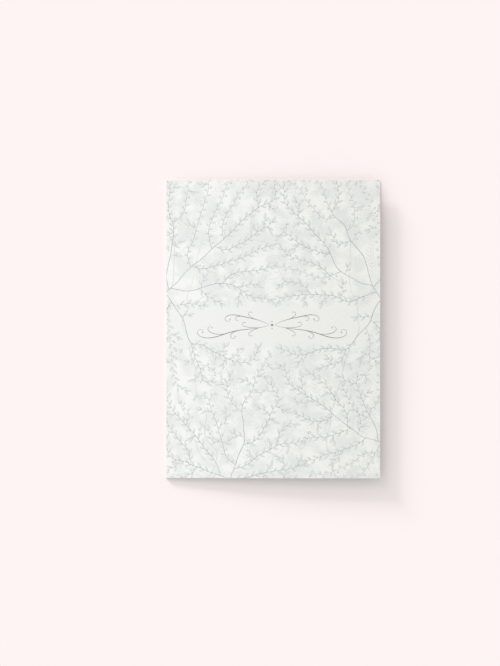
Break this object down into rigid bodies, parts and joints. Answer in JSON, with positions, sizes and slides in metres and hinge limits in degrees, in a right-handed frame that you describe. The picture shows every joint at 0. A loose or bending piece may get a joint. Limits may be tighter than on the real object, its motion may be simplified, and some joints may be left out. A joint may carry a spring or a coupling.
{
  "type": "greeting card",
  "caption": "Portrait greeting card: one sheet of uncoated card scored and folded once at the left, closed, lying on its back panel.",
  "frame": {"origin": "on the surface the card lies on, under the middle of the closed card", "axes": "+X from the fold to the opening edge, +Y up the page along the fold, +Z out of the front"},
  "size_m": [0.1142, 0.1588, 0.0044],
  "materials": {
    "card_stock": "matte",
    "pattern_ink": "matte",
    "ornament_ink": "matte"
  },
  "bodies": {
    "root": {"card": "card_stock"}
  },
  "joints": []
}
